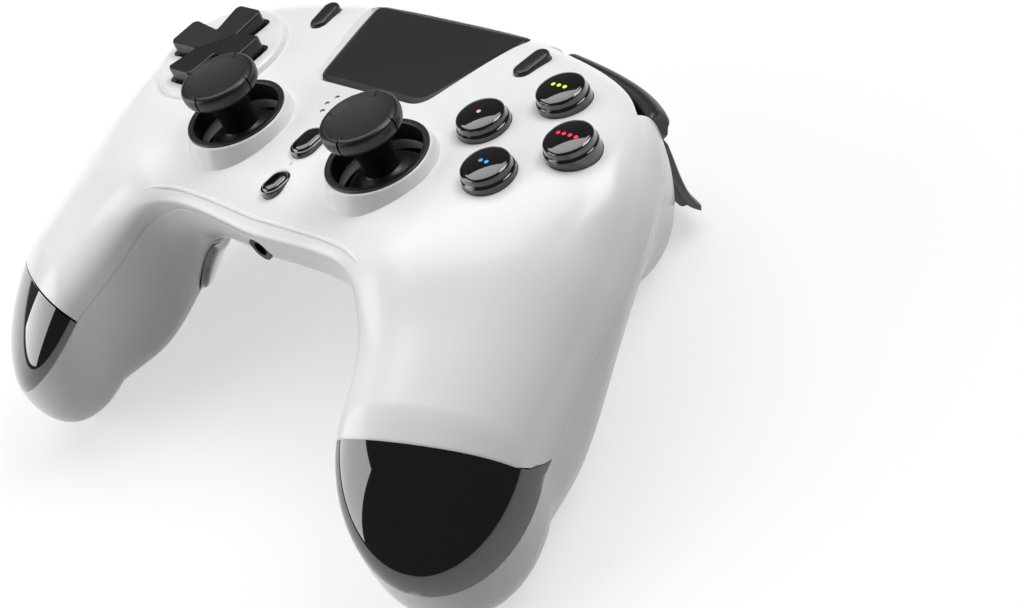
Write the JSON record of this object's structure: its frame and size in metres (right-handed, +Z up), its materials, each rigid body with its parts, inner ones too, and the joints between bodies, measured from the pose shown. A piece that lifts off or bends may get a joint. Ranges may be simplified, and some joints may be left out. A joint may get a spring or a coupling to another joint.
{
  "type": "gamepad controller",
  "caption": "Handheld gamepad: moulded housing with grips, thumbsticks, cross pad, face buttons, touch pad, bumpers, triggers, back paddles, boards, battery and rumble motors inside.",
  "frame": {"origin": "centre of the overall box on the table under the pad as it lies on its two grips and its rear housing", "axes": "+X to the player's right, +Y to the rear (the trigger side), +Z up from the table"},
  "size_m": [0.1648, 0.1186, 0.064],
  "materials": {
    "white_gloss": "glossy moulded",
    "black_gloss": "piano gloss",
    "black_satin": "satin",
    "black_rubber": "matt",
    "grey_plastic": "moulded",
    "steel": "plain",
    "board_green": "solder mask",
    "battery_wrap": "shrink wrap",
    "light_pipe": "clear moulded"
  },
  "bodies": {
    "housing": {"front_shell": "white_gloss", "rear_shell": "white_gloss", "left_grip_cap": "black_gloss", "right_grip_cap": "black_gloss", "left_stick_bezel": "black_satin", "right_stick_bezel": "black_satin", "left_stick_base": "grey_plastic", "right_stick_base": "grey_plastic", "dpad_mat": "black_rubber", "left_button_board": "board_green", "right_button_board": "board_green", "face_button_mat": "black_rubber", "status_lights": "light_pipe", "upper_board": "board_green", "light_bar": "black_satin", "left_trigger_pin": "steel", "right_trigger_pin": "steel", "left_trigger_spring": "steel", "right_trigger_spring": "steel", "left_trigger_frame": "black_satin", "right_trigger_frame": "black_satin", "main_board": "board_green", "battery": "battery_wrap", "usb_socket": "steel", "audio_jack": "black_satin", "slide_switch": "steel", "left_motor": "steel", "right_motor": "steel", "left_front_screw": "steel", "right_front_screw": "steel", "left_grip_screw": "steel", "right_grip_screw": "steel"},
    "left_stick_rocker_body": {"left_stick_rocker": "grey_plastic"},
    "left_stick_arch_body": {"left_stick_arch": "grey_plastic"},
    "left_stick_shaft_body": {"left_stick_shaft": "steel"},
    "left_stick_cap_body": {"left_stick_cap": "black_rubber"},
    "right_stick_rocker_body": {"right_stick_rocker": "grey_plastic"},
    "right_stick_arch_body": {"right_stick_arch": "grey_plastic"},
    "right_stick_shaft_body": {"right_stick_shaft": "steel"},
    "right_stick_cap_body": {"right_stick_cap": "black_rubber"},
    "dpad_pivot_body": {"dpad_pivot": "grey_plastic"},
    "dpad_body": {"dpad": "black_satin"},
    "top_face_button_body": {"top_face_button": "black_gloss"},
    "right_face_button_body": {"right_face_button": "black_gloss"},
    "bottom_face_button_body": {"bottom_face_button": "black_gloss"},
    "left_face_button_body": {"left_face_button": "black_gloss"},
    "home_button_body": {"home_button": "black_gloss"},
    "mode_button_body": {"mode_button": "black_gloss"},
    "share_button_body": {"share_button": "black_satin"},
    "options_button_body": {"options_button": "black_satin"},
    "touch_pad_body": {"touch_pad": "black_satin"},
    "left_bumper_body": {"left_bumper": "black_satin"},
    "left_trigger_body": {"left_trigger": "black_satin"},
    "left_back_button_body": {"left_back_button": "black_gloss"},
    "left_motor_weight_body": {"left_motor_weight": "steel"},
    "right_bumper_body": {"right_bumper": "black_satin"},
    "right_trigger_body": {"right_trigger": "black_satin"},
    "right_back_button_body": {"right_back_button": "black_gloss"},
    "right_motor_weight_body": {"right_motor_weight": "steel"},
    "slide_switch_knob_body": {"slide_switch_knob": "black_satin"}
  },
  "joints": [
    {"name": "left_stick_pitch", "type": "hinge", "parent": "housing", "child": "left_stick_rocker_body", "pos_m": [-0.023, 0.00903, 0.03863], "axis": [1, 0, 0], "range_deg": [-14, 14], "stiffness_Nm_per_rad": 0.06},
    {"name": "left_stick_roll", "type": "hinge", "parent": "left_stick_rocker_body", "child": "left_stick_shaft_body", "pos_m": [-0.023, 0.00903, 0.03863], "axis": [0, 0.9838, -0.1791], "range_deg": [-14, 14], "stiffness_Nm_per_rad": 0.06},
    {"name": "left_stick_yoke", "type": "hinge", "parent": "housing", "child": "left_stick_arch_body", "pos_m": [-0.023, 0.00903, 0.03863], "axis": [0, 0.9838, -0.1791], "range_deg": [-14, 14]},
    {"name": "left_stick_click", "type": "slide", "parent": "left_stick_shaft_body", "child": "left_stick_cap_body", "axis": [0, 0.1791, 0.9838], "range_m": [-0.0005, 0], "stiffness_N_per_m": 4000},
    {"name": "right_stick_pitch", "type": "hinge", "parent": "housing", "child": "right_stick_rocker_body", "pos_m": [0.023, 0.00903, 0.03863], "axis": [1, 0, 0], "range_deg": [-14, 14], "stiffness_Nm_per_rad": 0.06},
    {"name": "right_stick_roll", "type": "hinge", "parent": "right_stick_rocker_body", "child": "right_stick_shaft_body", "pos_m": [0.023, 0.00903, 0.03863], "axis": [0, 0.9838, -0.1791], "range_deg": [-14, 14], "stiffness_Nm_per_rad": 0.06},
    {"name": "right_stick_yoke", "type": "hinge", "parent": "housing", "child": "right_stick_arch_body", "pos_m": [0.023, 0.00903, 0.03863], "axis": [0, 0.9838, -0.1791], "range_deg": [-14, 14]},
    {"name": "right_stick_click", "type": "slide", "parent": "right_stick_shaft_body", "child": "right_stick_cap_body", "axis": [0, 0.1791, 0.9838], "range_m": [-0.0005, 0], "stiffness_N_per_m": 4000},
    {"name": "dpad_pitch", "type": "hinge", "parent": "housing", "child": "dpad_pivot_body", "pos_m": [-0.049, 0.02732, 0.0414], "axis": [1, 0, 0], "range_deg": [-5, 5], "stiffness_Nm_per_rad": 0.12},
    {"name": "dpad_roll", "type": "hinge", "parent": "dpad_pivot_body", "child": "dpad_body", "pos_m": [-0.049, 0.02732, 0.0414], "axis": [0, 0.9838, -0.1791], "range_deg": [-5, 5], "stiffness_Nm_per_rad": 0.12},
    {"name": "top_face_button_press", "type": "slide", "parent": "housing", "child": "top_face_button_body", "axis": [0, 0.1791, 0.9838], "range_m": [-0.0013, 0], "stiffness_N_per_m": 450},
    {"name": "right_face_button_press", "type": "slide", "parent": "housing", "child": "right_face_button_body", "axis": [0, 0.1791, 0.9838], "range_m": [-0.0013, 0], "stiffness_N_per_m": 450},
    {"name": "bottom_face_button_press", "type": "slide", "parent": "housing", "child": "bottom_face_button_body", "axis": [0, 0.1791, 0.9838], "range_m": [-0.0013, 0], "stiffness_N_per_m": 450},
    {"name": "left_face_button_press", "type": "slide", "parent": "housing", "child": "left_face_button_body", "axis": [0, 0.1791, 0.9838], "range_m": [-0.0013, 0], "stiffness_N_per_m": 450},
    {"name": "home_button_press", "type": "slide", "parent": "housing", "child": "home_button_body", "axis": [0, 0.1791, 0.9838], "range_m": [-0.0003, 0], "stiffness_N_per_m": 5000},
    {"name": "mode_button_press", "type": "slide", "parent": "housing", "child": "mode_button_body", "axis": [0, 0.1791, 0.9838], "range_m": [-0.0003, 0], "stiffness_N_per_m": 5000},
    {"name": "share_button_press", "type": "slide", "parent": "housing", "child": "share_button_body", "axis": [0, 0.1791, 0.9838], "range_m": [-0.0004, 0], "stiffness_N_per_m": 4000},
    {"name": "options_button_press", "type": "slide", "parent": "housing", "child": "options_button_body", "axis": [0, 0.1791, 0.9838], "range_m": [-0.0004, 0], "stiffness_N_per_m": 4000},
    {"name": "touch_pad_click", "type": "hinge", "parent": "housing", "child": "touch_pad_body", "pos_m": [0, 0.0536, 0.03499], "axis": [1, 0, 0], "range_deg": [0, 1.2], "stiffness_Nm_per_rad": 2.2},
    {"name": "left_bumper_press", "type": "hinge", "parent": "housing", "child": "left_bumper_body", "pos_m": [-0.031, 0.05063, 0.03207], "axis": [0, 0.1791, 0.9838], "range_deg": [0, 3], "stiffness_Nm_per_rad": 0.5},
    {"name": "left_trigger_pull", "type": "hinge", "parent": "housing", "child": "left_trigger_body", "pos_m": [-0.047, 0.04203, 0.02449], "axis": [1, 0, 0], "range_deg": [-18, 0], "stiffness_Nm_per_rad": 0.05, "springref_deg": 20.05},
    {"name": "left_back_button_press", "type": "hinge", "parent": "housing", "child": "left_back_button_body", "pos_m": [-0.04484, -0.00419, 0.01873], "axis": [-0.6479, 0.5057, -0.5696], "range_deg": [0, 3], "stiffness_Nm_per_rad": 0.5},
    {"name": "left_rumble_spin", "type": "hinge", "parent": "housing", "child": "left_motor_weight_body", "pos_m": [-0.06, -0.00095, 0.02012], "axis": [0, 0.9838, -0.1791], "continuous": true},
    {"name": "right_bumper_press", "type": "hinge", "parent": "housing", "child": "right_bumper_body", "pos_m": [0.031, 0.05063, 0.03207], "axis": [0, 0.1791, 0.9838], "range_deg": [-3, 0], "stiffness_Nm_per_rad": 0.5},
    {"name": "right_trigger_pull", "type": "hinge", "parent": "housing", "child": "right_trigger_body", "pos_m": [0.047, 0.04203, 0.02449], "axis": [1, 0, 0], "range_deg": [-18, 0], "stiffness_Nm_per_rad": 0.05, "springref_deg": 20.05},
    {"name": "right_back_button_press", "type": "hinge", "parent": "housing", "child": "right_back_button_body", "pos_m": [0.04484, -0.00419, 0.01873], "axis": [-0.6479, -0.5057, 0.5696], "range_deg": [0, 3], "stiffness_Nm_per_rad": 0.5},
    {"name": "right_rumble_spin", "type": "hinge", "parent": "housing", "child": "right_motor_weight_body", "pos_m": [0.06, -0.00095, 0.02012], "axis": [0, 0.9838, -0.1791], "continuous": true},
    {"name": "power_switch_slide", "type": "slide", "parent": "housing", "child": "slide_switch_knob_body", "axis": [1, 0, 0], "range_m": [0, 0.002]}
  ],
  "couplings": [
    {"joint": "left_stick_yoke", "follows": "left_stick_roll", "ratio": 1},
    {"joint": "right_stick_yoke", "follows": "right_stick_roll", "ratio": 1}
  ]
}
